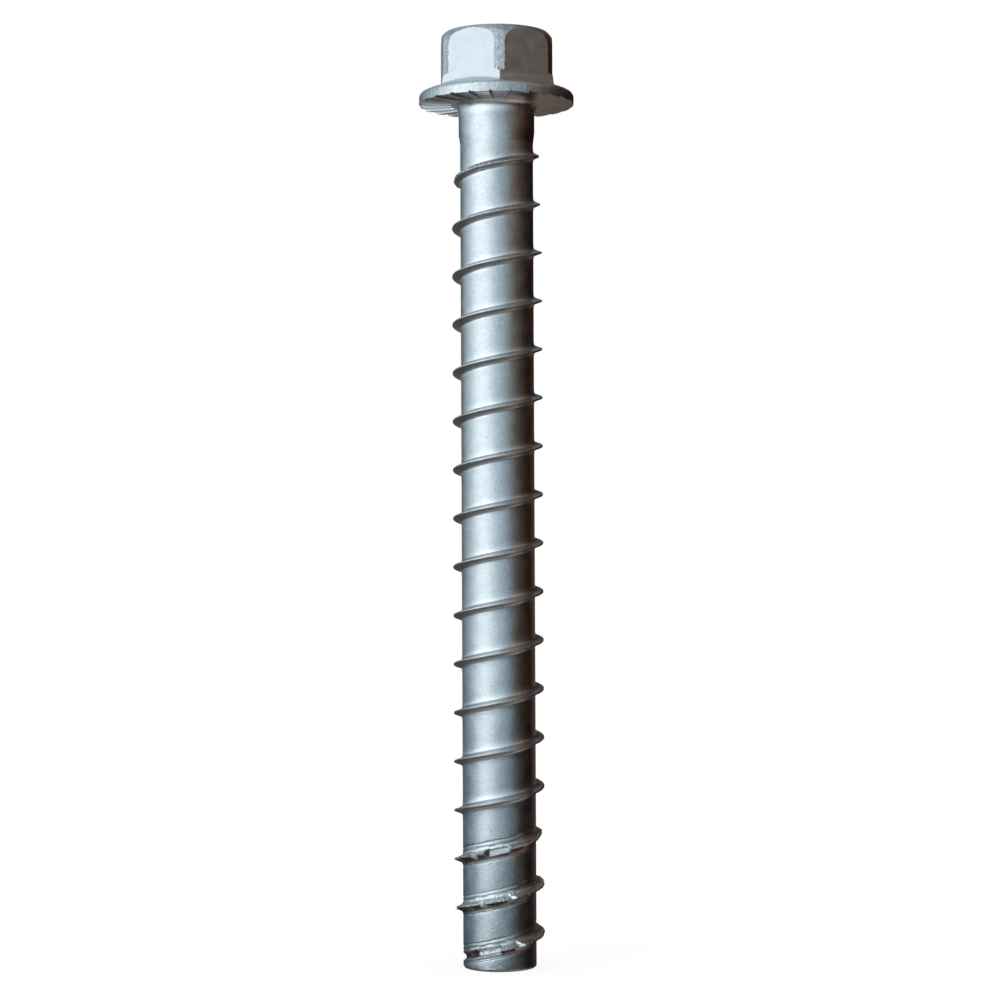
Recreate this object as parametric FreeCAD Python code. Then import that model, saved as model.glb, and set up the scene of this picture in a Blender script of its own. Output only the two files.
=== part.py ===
"""Concrete screw with a hex flange head, forged and thread-rolled from one steel bar. Millimetres.

The screw points down along Z. The origin is the centre of the bearing plane, where the serrated
underside of the flange meets the wall, so the head is above zero and the shank below it.
Azimuths are in degrees from +X, counter-clockwise seen from above.
"""
import FreeCAD, Part

import math
import os

# Hex head: forged, so its corners are sharp at the base and left round above it
HEX_SIDES = 6
ACROSS_FLATS = 19.05
HEAD_HEIGHT = 12.5
HEX_CORNER_AZIMUTH = -85.3
SHARP_CORNER_TOP = 3.9
ROUND_CORNER_BOTTOM = 4.5
ROUND_CORNER_RADIUS = 10.45
SHOULDER_HEIGHT = 2.65
SHOULDER_CROWN = 0.3
TOP_FACE_RADIUS = 9.0

# Flange: a round washer face under the hex
FLANGE_RADIUS = 13.5
FLANGE_CONE_SLOPE = 21.5
FLANGE_CONE_TOP_RADIUS = 9.0
RIM_WIDEST_HEIGHT = 1.25
RIM_UPPER_ROUND = 0.92
RIM_LOWER_ROUND = 0.25

# Locking serrations under the flange: each ramps down to a wall that faces anticlockwise
SERRATION_COUNT = 24
SERRATION_DEPTH = 0.36
SERRATION_INNER_RADIUS = 8.3
SERRATION_AZIMUTH = -93.5
SERRATION_OVERSHOOT = 0.4

# Shank: a plain neck, the threaded core and a flat tip
LENGTH_UNDER_HEAD = 149.4
NECK_RADIUS = 6.6
NECK_LENGTH = 5.9
NECK_TAPER = 0.5
NECK_FILLET = 1.1
CORE_RADIUS = 6.34
TIP_ROUND = 0.65

# Thread: one coarse right-hand ridge, flared at its root
THREAD_PITCH = 8.41
THREAD_HEIGHT = 1.5
THREAD_CREST_WIDTH = 0.28
THREAD_FOOT_HEIGHT = 0.6
THREAD_FOOT_WIDTH = 0.86
THREAD_ROOT_WIDTH = 1.5
THREAD_ROOT_BURIED = 0.3
THREAD_START_AZIMUTH = -87.0
THREAD_START_ABOVE_TIP = 3.91

# Run-out: the crest sinks into the neck as the thread nears the head
RUN_OUT_TOP = -4.3
RUN_OUT_KNEE = -8.2
RUN_OUT_KNEE_HEIGHT = 1.12
RUN_OUT_END = -20.0

# Cutting teeth: walls across the lowest turns, each behind a ramp that is cut from the crest
TOOTH_COUNT = 27
TOOTH_FIRST_ANGLE = 26.5
TOOTH_STEP = 28.9
TOOTH_STEP_CLOSING = 0.025
TOOTH_RAMP_ANGLE = 11.0
TOOTH_DEPTH = 1.15
TOOTH_CUT_WIDTH = 2.4

# Gap: above the cutting teeth one stretch of the ridge is cut away to a flat
GAP_AZIMUTH = -87.5
GAP_ANGLE = 30.0
GAP_TURN = 2
GAP_DEPTH_IN_CORE = 0.14
GAP_CUT_WIDTH = 2.0

# Starting groove: the ridge stops short of the tip and a groove follows its line
GROOVE_DEPTH = 0.6
GROOVE_WIDTH = 1.5
GROOVE_FLOOR_WIDTH = 0.5
GROOVE_ANGLE = 128.0
GROOVE_OVERLAP_ANGLE = 1.5

# Worn stretch of crest, just above the gap on the +X side
WORN_CREST_HEIGHT = 0.93
WORN_CREST_TURN = 2

# Rounds that are turned as this many cones each
TIP_CONE_COUNT = 1
FILLET_CONE_COUNT = 2
RIM_LOWER_CONE_COUNT = 1
RIM_UPPER_CONE_COUNT = 2
SHOULDER_CONE_COUNT = 3

CUT_MARGIN = 1.0
QUARTER_TURN = 90.0
HALF_TURN = 180.0
FULL_TURN = 360.0

ORIGIN = FreeCAD.Vector(0, 0, 0)
UP = FreeCAD.Vector(0, 0, 1)


def polar(radius, azimuth, height):
    """Return the point at a radius, an azimuth in degrees and a height."""
    turn = math.radians(azimuth)
    return FreeCAD.Vector(radius * math.cos(turn), radius * math.sin(turn), height)


def in_plane(radius, height):
    """Return a point of the half plane that a turned profile is drawn in."""
    return FreeCAD.Vector(radius, 0, height)


def line(start, end):
    """Return a straight edge."""
    return Part.LineSegment(start, end).toShape()


def chain(points):
    """Return the straight edges that join a row of points."""
    return [line(a, b) for a, b in zip(points, points[1:])]


def round_points(centre, radius, angle_from, angle_to, cone_count):
    """Return points on a circle of the profile plane, so that a turned round is a few cones."""
    points = []
    for k in range(cone_count + 1):
        turn = math.radians(angle_from + (angle_to - angle_from) * k / cone_count)
        points.append(in_plane(centre.x + radius * math.cos(turn), centre.z + radius * math.sin(turn)))
    return points


def turned(points):
    """Return the solid that a closed profile sweeps in one full turn about Z."""
    face = Part.Face(Part.Wire(chain(points + points[:1])))
    return face.revolve(ORIGIN, UP, FULL_TURN)


def crest_height(azimuth, turn):
    """Return the height of the crest line, with turns counted up from the ridge's lower end."""
    start = THREAD_START_ABOVE_TIP - LENGTH_UNDER_HEAD
    return start + THREAD_PITCH * (turn + (azimuth - THREAD_START_AZIMUTH) / FULL_TURN)


def shank_points():
    """Return the profile of the shank from the middle of the tip up to the bearing plane."""
    tip_centre = in_plane(CORE_RADIUS - TIP_ROUND, TIP_ROUND - LENGTH_UNDER_HEAD)
    fillet_centre = in_plane(NECK_RADIUS + NECK_FILLET, -NECK_FILLET)
    return [
        in_plane(0, -LENGTH_UNDER_HEAD),
        *round_points(tip_centre, TIP_ROUND, -QUARTER_TURN, 0, TIP_CONE_COUNT),
        in_plane(CORE_RADIUS, -NECK_LENGTH - NECK_TAPER),
        in_plane(NECK_RADIUS, -NECK_LENGTH),
        *round_points(fillet_centre, NECK_FILLET, HALF_TURN, QUARTER_TURN, FILLET_CONE_COUNT),
    ]


def flange_points():
    """Return the profile of the flange, from the bearing plane round the rim to the axis."""
    lower_centre = in_plane(FLANGE_RADIUS - RIM_LOWER_ROUND, RIM_LOWER_ROUND)
    upper_centre = in_plane(FLANGE_RADIUS - RIM_UPPER_ROUND, RIM_WIDEST_HEIGHT)
    rim_end = QUARTER_TURN - FLANGE_CONE_SLOPE
    rim = round_points(upper_centre, RIM_UPPER_ROUND, 0, rim_end, RIM_UPPER_CONE_COUNT)
    cone_foot = rim[-1]
    cone_rise = (cone_foot.x - FLANGE_CONE_TOP_RADIUS) * math.tan(math.radians(FLANGE_CONE_SLOPE))
    return [
        *round_points(lower_centre, RIM_LOWER_ROUND, -QUARTER_TURN, 0, RIM_LOWER_CONE_COUNT),
        *rim,
        in_plane(FLANGE_CONE_TOP_RADIUS, cone_foot.z + cone_rise),
        in_plane(0, cone_foot.z + cone_rise),
    ]


def turned_blank():
    """Return the shank and flange before the hex, the thread and the serrations."""
    return turned(shank_points() + flange_points())


def corner_radius():
    """Return the distance from the axis to the hex's sharp corners."""
    return ACROSS_FLATS / 2 / math.cos(math.pi / HEX_SIDES)


def hex_prism():
    """Return the six flats as a prism, from the bearing plane to the top of the head."""
    corners = []
    for k in range(HEX_SIDES):
        azimuth = HEX_CORNER_AZIMUTH + FULL_TURN * k / HEX_SIDES
        corners.append(polar(corner_radius(), azimuth, RIM_WIDEST_HEIGHT))
    outline = Part.Face(Part.makePolygon(corners + corners[:1]))
    return outline.extrude(UP * (HEAD_HEIGHT - RIM_WIDEST_HEIGHT))


def shoulder_points():
    """Return the crowned shoulder from the rounded corners in to the edge of the top face."""
    outer = in_plane(ROUND_CORNER_RADIUS, HEAD_HEIGHT - SHOULDER_HEIGHT)
    inner = in_plane(TOP_FACE_RADIUS, HEAD_HEIGHT)
    chord = inner - outer
    outward = FreeCAD.Vector(chord.z, 0, -chord.x).normalize()
    points = []
    for k in range(SHOULDER_CONE_COUNT + 1):
        along = k / SHOULDER_CONE_COUNT
        points.append(outer + chord * along + outward * SHOULDER_CROWN * math.sin(math.pi * along))
    return points


def head_envelope():
    """Return the turned form that rounds the corners and the shoulder of the hex."""
    clear_radius = corner_radius() + CUT_MARGIN
    return turned([
        ORIGIN,
        in_plane(clear_radius, 0),
        in_plane(clear_radius, SHARP_CORNER_TOP - CUT_MARGIN),
        in_plane(ROUND_CORNER_RADIUS, ROUND_CORNER_BOTTOM),
        *shoulder_points(),
        in_plane(0, HEAD_HEIGHT),
    ])


def hex_head():
    """Return the hex with its rounded corners and shoulder."""
    return hex_prism().common(head_envelope())


def helix_wire(angle):
    """Return a right-hand helix from azimuth 0 at height 0, in equal edges of a turn or less."""
    edge_count = math.ceil(angle / FULL_TURN)
    edge_angle = angle / edge_count
    edge_rise = THREAD_PITCH * edge_angle / FULL_TURN
    edges = []
    for k in range(edge_count):
        edge = Part.makeHelix(THREAD_PITCH, edge_rise, CORE_RADIUS)
        edge.rotate(ORIGIN, UP, edge_angle * k)
        edge.translate(UP * edge_rise * k)
        edges += edge.Edges
    return Part.Wire(edges)


def helical_sweep(outline, start_height, start_azimuth, angle):
    """Sweep an outline, given as radius and height off the helix, up a helix of the thread's pitch."""
    profile = Part.makePolygon([in_plane(r, z) for r, z in outline + outline[:1]])
    solid = helix_wire(angle).makePipeShell([profile], True, True)
    solid.rotate(ORIGIN, UP, start_azimuth)
    solid.translate(UP * start_height)
    return solid


def thread_outline():
    """Return the ridge's section as radii and heights: a narrow crest, flanks and a flared foot."""
    flare = (THREAD_ROOT_WIDTH - THREAD_FOOT_WIDTH) / 2 / THREAD_FOOT_HEIGHT
    upper_half = [
        (CORE_RADIUS + THREAD_HEIGHT, THREAD_CREST_WIDTH / 2),
        (CORE_RADIUS + THREAD_FOOT_HEIGHT, THREAD_FOOT_WIDTH / 2),
        (CORE_RADIUS - THREAD_ROOT_BURIED, THREAD_ROOT_WIDTH / 2 + THREAD_ROOT_BURIED * flare),
    ]
    lower_half = [(r, -z) for r, z in reversed(upper_half)]
    return upper_half + lower_half


def run_out_envelope():
    """Return the turned form inside which the crest stays."""
    full = CORE_RADIUS + THREAD_HEIGHT + CUT_MARGIN
    bottom = -LENGTH_UNDER_HEAD - CUT_MARGIN
    crest_slope = (THREAD_HEIGHT - RUN_OUT_KNEE_HEIGHT) / (RUN_OUT_KNEE - RUN_OUT_END)
    clear_height = RUN_OUT_END - CUT_MARGIN / crest_slope
    return turned([
        in_plane(0, bottom),
        in_plane(full, bottom),
        in_plane(full, clear_height),
        in_plane(CORE_RADIUS + RUN_OUT_KNEE_HEIGHT, RUN_OUT_KNEE),
        in_plane(CORE_RADIUS, RUN_OUT_TOP),
        in_plane(0, RUN_OUT_TOP),
    ])


def thread():
    """Return the ridge from its first tooth to where it runs out at the neck."""
    start = crest_height(THREAD_START_AZIMUTH, 0)
    angle = FULL_TURN * (RUN_OUT_TOP - start) / THREAD_PITCH
    ridge = helical_sweep(thread_outline(), start, THREAD_START_AZIMUTH, angle)
    return ridge.common(run_out_envelope())


def tooth_angle(index):
    """Return how far along the thread, in degrees from its lower end, a tooth's wall stands."""
    return TOOTH_FIRST_ANGLE + TOOTH_STEP * index - TOOTH_STEP_CLOSING * index * index


def tooth_cut(index):
    """Return the wedge that leaves a radial wall and the ramp down to it."""
    azimuth = THREAD_START_AZIMUTH + tooth_angle(index)
    bottom = crest_height(azimuth, 0) - TOOTH_CUT_WIDTH / 2
    crest = CORE_RADIUS + THREAD_HEIGHT
    outline = [
        polar(crest - TOOTH_DEPTH, azimuth, bottom),
        polar(crest + CUT_MARGIN, azimuth, bottom),
        polar(crest + CUT_MARGIN, azimuth - TOOTH_RAMP_ANGLE, bottom),
        polar(crest, azimuth - TOOTH_RAMP_ANGLE, bottom),
    ]
    face = Part.Face(Part.makePolygon(outline + outline[:1]))
    return face.extrude(UP * TOOTH_CUT_WIDTH)


def gap_cut():
    """Return the block that clears one stretch of the ridge and leaves a shallow flat."""
    lead = math.degrees(math.atan2(THREAD_PITCH, 2 * math.pi * CORE_RADIUS))
    floor = CORE_RADIUS - GAP_DEPTH_IN_CORE
    length = 2 * (CORE_RADIUS + THREAD_HEIGHT) * math.sin(math.radians(GAP_ANGLE / 2))
    block = Part.makeBox(THREAD_HEIGHT + CUT_MARGIN, length, GAP_CUT_WIDTH)
    block.translate(FreeCAD.Vector(floor, -length / 2, -GAP_CUT_WIDTH / 2))
    block.rotate(ORIGIN, FreeCAD.Vector(1, 0, 0), lead)
    block.rotate(ORIGIN, UP, GAP_AZIMUTH)
    block.translate(UP * crest_height(GAP_AZIMUTH, GAP_TURN))
    return block


def starting_groove():
    """Return the groove that runs on from the ridge's lower end towards the tip."""
    outline = [
        (CORE_RADIUS - GROOVE_DEPTH, GROOVE_FLOOR_WIDTH / 2),
        (CORE_RADIUS + GROOVE_DEPTH, GROOVE_WIDTH - GROOVE_FLOOR_WIDTH / 2),
        (CORE_RADIUS + GROOVE_DEPTH, GROOVE_FLOOR_WIDTH / 2 - GROOVE_WIDTH),
        (CORE_RADIUS - GROOVE_DEPTH, -GROOVE_FLOOR_WIDTH / 2),
    ]
    end_azimuth = THREAD_START_AZIMUTH - GROOVE_ANGLE
    sweep_angle = GROOVE_ANGLE + GROOVE_OVERLAP_ANGLE
    return helical_sweep(outline, crest_height(end_azimuth, 0), end_azimuth, sweep_angle)


def worn_crest_cut():
    """Return the block that takes the top off the crest on the +X side, as wear has."""
    width = THREAD_PITCH / 2
    block = Part.makeBox(THREAD_HEIGHT + CUT_MARGIN, 2 * CORE_RADIUS, width)
    middle = crest_height(0, WORN_CREST_TURN)
    block.translate(FreeCAD.Vector(CORE_RADIUS + WORN_CREST_HEIGHT, -CORE_RADIUS, middle - width / 2))
    return block


def serration_cut(index):
    """Return the wedge below one serration's ramp, deepest at its wall on the rim."""
    step = FULL_TURN / SERRATION_COUNT
    wall = SERRATION_AZIMUTH + step * index
    outer = FLANGE_RADIUS + SERRATION_OVERSHOOT
    outline = [
        polar(SERRATION_INNER_RADIUS, wall, 0),
        polar(outer, wall, SERRATION_DEPTH),
        polar(outer, wall + step, 0),
    ]
    ramp = Part.Face(Part.makePolygon(outline + outline[:1]))
    return ramp.extrude(-UP * CUT_MARGIN)


def concrete_screw():
    """Return the whole screw as one solid."""
    screw = turned_blank().fuse([hex_head(), thread()])
    cuts = [serration_cut(k) for k in range(SERRATION_COUNT)]
    cuts += [tooth_cut(k) for k in range(TOOTH_COUNT)]
    cuts += [gap_cut(), starting_groove(), worn_crest_cut()]
    return screw.cut(cuts)


def main():
    """Write the screw's one solid."""
    os.makedirs("parts", exist_ok=True)
    screw = concrete_screw()
    screw.exportStep("parts/concrete_screw.step")
    print("solids", len(screw.Solids), "volume", round(screw.Volume, 1), "valid", screw.isValid())


main()
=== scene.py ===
"""Dresses the concrete screw: satin zinc on a forged hex flange head and a rolled thread.

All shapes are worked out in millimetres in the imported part's own frame, with the origin at the
centre of the bearing plane, +Z towards the head and azimuths in degrees from +X, and are put into
the meshes in metres. Along the thread, the angle counts in degrees from the ridge's lower end, and
the offset counts in millimetres up from the middle of the ridge.
"""

import math

import bmesh
import bpy
import numpy as np
from mathutils import Matrix, Vector

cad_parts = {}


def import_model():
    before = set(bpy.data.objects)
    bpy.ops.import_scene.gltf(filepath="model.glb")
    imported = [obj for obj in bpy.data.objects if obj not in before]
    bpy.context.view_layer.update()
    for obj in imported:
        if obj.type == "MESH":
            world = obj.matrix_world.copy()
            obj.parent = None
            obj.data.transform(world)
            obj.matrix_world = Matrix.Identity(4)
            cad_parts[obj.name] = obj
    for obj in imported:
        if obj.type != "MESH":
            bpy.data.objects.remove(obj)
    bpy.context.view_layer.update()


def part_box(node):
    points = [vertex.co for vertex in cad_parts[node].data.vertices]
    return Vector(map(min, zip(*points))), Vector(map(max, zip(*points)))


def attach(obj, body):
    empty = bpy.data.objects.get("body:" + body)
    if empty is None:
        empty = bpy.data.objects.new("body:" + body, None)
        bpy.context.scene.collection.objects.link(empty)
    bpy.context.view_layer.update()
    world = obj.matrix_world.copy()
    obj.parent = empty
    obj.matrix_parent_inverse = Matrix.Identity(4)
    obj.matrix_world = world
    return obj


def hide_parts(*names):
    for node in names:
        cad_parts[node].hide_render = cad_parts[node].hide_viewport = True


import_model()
NODE = "concrete_screw"
MM = 0.001
FULL_TURN = 360.0
QUARTER_TURN = 90.0
WELD_DISTANCE = 1e-6
SHARP_ANGLE = math.radians(34)
MASKS = ["trimmed_flat", "forged", "residue", "turned", "burnished"]
SHANK_MASKS = ["forged", "residue", "burnished"]

# Outer sizes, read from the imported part
LOW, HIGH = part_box(NODE)
SHANK_LENGTH = -LOW.z / MM
HEAD_HEIGHT = HIGH.z / MM
FLANGE_RADIUS = HIGH.x / MM

# Hex: forged corners, round above and sharp at the base
HEX_SIDES = 6
HEX_FLAT_RADIUS = 9.525
HEX_CORNER_AZIMUTH = -85.3
ROUND_CORNER_RADIUS = 10.45
ROUND_CORNER_BOTTOM = 4.5
SHARP_CORNER_TOP = 3.9
SHARP_CORNER_CLEAR = 11.1
HEX_EDGE_BLEND = 0.05
FLAT_FADE = 0.08
FOOT_FLARE = 0.3
FOOT_FLARE_TOP = 4.3
# Painted shade over the flats' lowest part, where they meet the flange: its height and strength
FOOT_SHADE_HEIGHT = 0.5
FOOT_SHADE = 0.8
FORGED_WAVE = 0.065
FORGED_WAVE_FINE = 0.028
SHOULDER_HEIGHT = 2.65
SHOULDER_CROWN = 0.3
SHOULDER_WAVE_FADE = 0.25
TOP_FACE_RADIUS = 9.0
TOP_FACE_DISH = 0.06

# Flange
CONE_SLOPE = 21.5
RIM_WIDEST_HEIGHT = 1.25
RIM_UPPER_ROUND = 0.92
RIM_LOWER_ROUND = 0.25
HEX_FOOT_GROOVE = 0.25
HEX_FOOT_GROOVE_WIDTH = 0.36
FLANGE_TOP_WAVE = 0.03
SERRATIONS = 24
SERRATION_DEPTH = 0.44
SERRATION_CREST_DROP = 0.12
SERRATION_SLOT_DEPTH = 0.14
SERRATION_SLOT_SHARE = 0.18
SERRATION_REACH_POWER = 0.45
SERRATION_INNER_RADIUS = 7.75
SERRATION_OUTER_RADIUS = 13.9
SERRATION_AZIMUTH = -93.5
# Where a serration's wall starts, which carries painted sheen, and where its slot starts to carry painted
# shade
SERRATION_WALL_FROM = 0.95
SLOT_WALL_FROM = 0.98
SLOT_DARK_FROM = 0.1

# Neck
NECK_RADIUS = 6.6
NECK_FILLET = 1.1
NECK_FILLET_HEIGHT = 1.8
NECK_TAPER_TOP = -4.6
NECK_TAPER_POWER = 1.3
NECK_END = -6.8
NECK_BURIED = 0.1

# Rows of points down the head, how they spread over the flange's top, and the degrees between a
# serration's wall and the columns after and before it
TOP_FACE_ROWS = 9
SHOULDER_ROWS = 25
FLATS_ROWS = 45
FLANGE_TOP_ROWS = 27
FLANGE_TOP_SPREAD = 1.3
RIM_UPPER_ROWS = 13
RIM_LOWER_ROWS = 11
UNDERSIDE_ROWS = 15
FILLET_ROWS = 10
NECK_ROWS = 6
TAPER_ROWS = 9
HEAD_COLUMNS = 600
COLUMN_AFTER_WALL = 0.02
COLUMN_BEFORE_WALL = 0.12

# Strengths of the head's masks
TOP_FACE_FORGED = 0.6
FLANGE_TOP_FORGED = 0.8
RIM_LOWER_FORGED = 0.4
# Painted shade in the groove at the hex's foot
HEX_FOOT_GROOVE_SHADE = 1.4
UNDERSIDE_TURNED = 0.4
FILLET_TURNED = 0.5
# Painted sheen on the fillet under the flange
FILLET_SHEEN = 0.7

# Unevenness of the head: seed, steps in a turn, and the spacing downwards or the height of it
FORGED_COARSE_NOISE = (5, 48, 1.9)
FORGED_FINE_NOISE = (6, 170, 0.47)
FLANGE_TOP_NOISE = (7, 190, 0.35)
CORNER_FOOT_NOISES = [(3, 90, 0.22), (4, 240, 0.1)]

# Core, thread and tip
CORE_RADIUS = 6.34
PITCH = 8.41
START_AZIMUTH = -87.0
START_ABOVE_TIP = 3.91
START_ROUND_ANGLE = 4.0
CREST_HEIGHT = 1.5
LEAST_RIDGE_HEIGHT = 0.03
RIDGE_HALF_WIDTHS = [0.0, 0.07, 0.14, 0.27, 0.4, 0.5, 0.62, 0.76, 0.95, 1.2, 1.5]
RIDGE_HEIGHTS = [1.5, 1.5, 1.42, 0.98, 0.6, 0.36, 0.17, 0.08, 0.045, 0.02, 0.0]
RIDGE_WAVER = 0.05
RUN_OUT_STATIONS = [-20.0, -8.2, -4.3, -3.0]
RUN_OUT_HEIGHTS = [1.5, 1.12, 0.0, -0.2]
TIP_ROUND = 0.5
TIP_DENT = 0.04
TIP_NOISE = (51, 60)
# Masks on the tip's end: forged skin at half strength, painted shade at half strength, no sheen
TIP_MASKS = (0.5, 0.5, 0.0)
TIP_ROUND_ROWS = 9
TIP_DISC_SHARES = (0.85, 0.6, 0.3, 0.0)
END_DISC_SHARES = (0.0, 0.5, 1.0)

# Fold along the rolled crest and the rough crest of the first turn under the neck; both lie above
# CREST_ZONE
CREST_ZONE = 0.5
FOLD_DEPTH = 0.16
FOLD_HALF_WIDTH = 0.2
FOLD_STATIONS = [-21.0, -17.0]
FOLD_MEAN = 0.8
FOLD_SPREAD = 0.4
FIRST_TURN_BOTTOM = -22.0
FIRST_TURN_FADE = 3.0
FIRST_TURN_ROUGHNESS = 0.13

# Cutting turns: how far up the wear goes, and the raggedness of crest and flank
WEAR_END_ANGLE = 860.0
WEAR_FADE = 60.0
JAG_MEAN = 0.05
JAG_SPREAD = 0.07
CREST_DENT = 0.02
FLANK_ROUGHNESS = 0.05
FLANK_RIB_OFFSETS = [0.05, 0.2, 0.6, 0.8]

# Cutting teeth; the ranges are for the unseen ones' ramp angle, depth, wall angle and painted light
TOOTH_COUNT = 27
TOOTH_FIRST_ANGLE = 26.5
TOOTH_STEP = 28.9
TOOTH_STEP_CLOSING = 0.025
TOOTH_SEED = 11
TOOTH_RANGES = [(3.0, 9.0), (0.75, 1.15), (1.2, 8.0), (0.2, 1.0)]
TOOTH_FACET_TILT = 0.15
TOOTH_FACET_HALF_WIDTH = 0.5
TOOTH_FACET_FADE = 0.3
SHALLOW_TEETH = [1, 2, 10, 13, 14, 22, 25, 26]
SHALLOW_TOOTH_DEPTH = 0.15

# The teeth that face the camera, by number: angle, ramp angle, depth, wall angle and painted light
SEEN_TEETH = {
    0: (23.4, 1.0, 1.4, 9.7, 1.0),
    9: (276.0, 22.0, 0.95, 8.0, 0.2),
    11: (331.0, 1.0, 1.3, 10.0, 1.0),
    12: (371.1, 1.0, 1.35, 10.0, 1.0),
    23: (684.0, 8.0, 1.2, 1.0, 1.0),
    24: (703.5, 8.0, 1.45, 1.0, 0.0),
}

# Gap in the ridge, worn crest beside it, burr and starting groove
GAP_AZIMUTH = -88.5
GAP_TURN = 2
GAP_ANGLE = GAP_TURN * FULL_TURN + GAP_AZIMUTH - START_AZIMUTH
GAP_HALF_ANGLE = 15.5
GAP_HALF_WIDTH = 0.6
GAP_FLOOR_TURN = 6.0
GAP_DEPTH_IN_CORE = 0.14
GAP_COVE = 0.12
GAP_COVE_FROM = 0.15
WORN_CREST_HEIGHT = 0.85
WORN_CREST_SLOPE = 0.7
WORN_CREST_ANGLES = [655.0, 680.0, 815.0, 850.0]
BURR_HEIGHT = 1.5
BURR_ANGLE = 267.0
BURR_HALF_ANGLE = 6.0
BURR_OFFSET = -0.27
BURR_HALF_WIDTH = 0.1
GROOVE_DEPTH = 0.6
GROOVE_HALF_WIDTH = 0.75
GROOVE_HALF_FLOOR = 0.25
GROOVE_ANGLE = 128.0
GROOVE_FADE = 30.0
GROOVE_OVERLAP = 2.5
GROOVE_ROUGHNESS = 0.05

# Fine grooves beside the ridge: offset, half width, depth and seed; then how their depth varies
# along the thread and where they end
ROLLING_LINES = [
    (1.2, 0.17, 0.16, 41),
    (1.88, 0.16, 0.14, 42),
    (-1.15, 0.11, 0.08, 43),
    (-1.45, 0.11, 0.08, 44),
]
ROLLING_MEAN = 0.65
ROLLING_SPREAD = 0.5
ROLLING_LEAST = 0.1
ROLLING_END_ANGLE = 800.0

# Unevenness along the thread: seed, count of values, degrees between them, and how many values
# they move on for each millimetre of offset
WAVER_NOISE = (21, 4000, 2.3, 0.0)
FOLD_NOISE = (22, 9000, 1.7, 0.0)
JAG_NOISE = (23, 4000, 1.9, 0.0)
FIRST_TURN_NOISE = (24, 9000, 2.6, 9.0)
DENT_NOISE = (25, 9000, 3.7, 0.0)
FLANK_NOISE = (26, 9000, 1.3, 2.0)
GROOVE_NOISES = [(31, 3000, 2.9, 1.3), (32, 3000, 1.4, -2.1)]
ROLLING_NOISE = (997, 11.0, 0.0)
PATCH_NOISE = (61, 2000, 14.0, 0.0)

# Masks over the shank: offsets across the thread and the strengths there
# Painted shade under the crest, over the root and at the foot of the cutting turns
SHADE_UNDER_CREST = ([-0.8, -0.6, -0.4, -0.12, 0.0], [0.0, 0.2, 0.7, 0.8, 0.0])
SHADE_OVER_ROOT = ([0.2, 0.35, 0.5, 0.6], [0.0, 0.45, 0.45, 0.0])
SHADE_AT_FOOT = ([-1.4, -1.1, -0.75, -0.4, -0.2], [0.0, 0.6, 1.4, 1.4, 0.0])
# Painted sheen in bands beside the roots, below and above the ridge; burnish on the worn flank
SHEEN_BELOW_RIDGE = ([-1.3, -0.95, -0.7, -0.6], [0.0, 0.9, 0.9, 0.0])
SHEEN_ABOVE_RIDGE = ([0.55, 0.7, 0.95, 1.7], [0.0, 1.0, 0.9, 0.0])
BURNISHED_FLANK_OFFSETS = [0.0, 0.1, 0.5, 0.7]
FORGED_OFFSETS = [-1.2, -0.7, 0.8, 1.3]

# Strengths of those masks, and where they change along and across the thread
PATCH_MEAN = 0.75
PATCH_SPREAD = 0.25
# Painted shade on the plain turns, the more allowed on worn turns, in the fine grooves and on the
# starting groove's sides and tip end
SHADE_ON_PLAIN_TURNS = 0.6
SHADE_ALLOWED_BY_WEAR = 0.5
ROLLING_LINE_SHADE = 5.0
CHANNEL_SHADE = 1.6
CHANNEL_SIDE_OFFSET = 0.45
CHANNEL_DARK_ANGLE = -36.0
CHANNEL_DARK_FADE = 4.0
FACET_MASK_FADE = 0.2
FACET_MASK_HALF_WIDTH = 0.65
# Painted sheen on the bright facets and in the gap, burnish on the worn flank, and the share of painted
# sheen above the ridge that worn turns lose
FACET_SHEEN = 1.3
GAP_SHEEN = 0.5
FLANK_BURNISHED = 0.5
SHEEN_ABOVE_LOST_TO_WEAR = 0.4
FIRST_TURN_FORGED = 2.2
FIRST_TURN_FORGED_TOP = 1.3
FIRST_TURN_FORGED_FALL = 2.6
WORN_FORGED = 0.25
WORN_FORGED_BESIDE_RIDGE = 0.6
FORGED_MOST = 3.0

# Where the meshes of the shank meet, how fine they are, and the offsets of their rows, close
# together on the ridge and over the fine grooves
SHANK_TOP = -3.4
CUTTING_END_TOP = -123.5
SHANK_COLUMNS = 160
CUTTING_END_COLUMNS = 320
HALF_PITCH = PITCH / 2
RIDGE_OFFSETS = [0.035, 0.07, 0.105, 0.14, 0.205, 0.27, 0.335, 0.4, 0.5, 0.6, 0.62, 0.76]
PLAIN_OFFSETS = [0.95, 1.2, 1.5, 2.2, 3.2, HALF_PITCH]
FINE_OFFSETS_BELOW = [
    0.9, 1.05, 1.1, 1.15, 1.2, 1.25, 1.35, 1.4, 1.45, 1.5, 1.55, 1.7, 2.2, 2.9, HALF_PITCH,
]
FINE_OFFSETS_ABOVE = [
    0.9, 1.03, 1.09, 1.15, 1.2, 1.25, 1.31, 1.37, 1.5, 1.75, 1.8, 1.85, 1.9, 1.95, 2.05, 2.2, 2.9,
    HALF_PITCH,
]
FLAT_QUAD_HEIGHT = 1e-9


# Shared helpers

def smooth_min(a, b, blend):
    """The lesser of two lengths, rounded over where they cross: (a+b - sqrt((a-b)^2 + blend))/2."""
    return (a + b - np.sqrt((a - b) ** 2 + blend)) / 2


def band(value, edges):
    """1 between the middle two of four edges, falling evenly to 0 at the outer two."""
    return np.interp(value, edges, [0.0, 1.0, 1.0, 0.0])


def cosine_share(share):
    """Carries a share from 0 to 1 along half a cosine wave."""
    return (1 - np.cos(np.pi * share)) / 2


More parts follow.
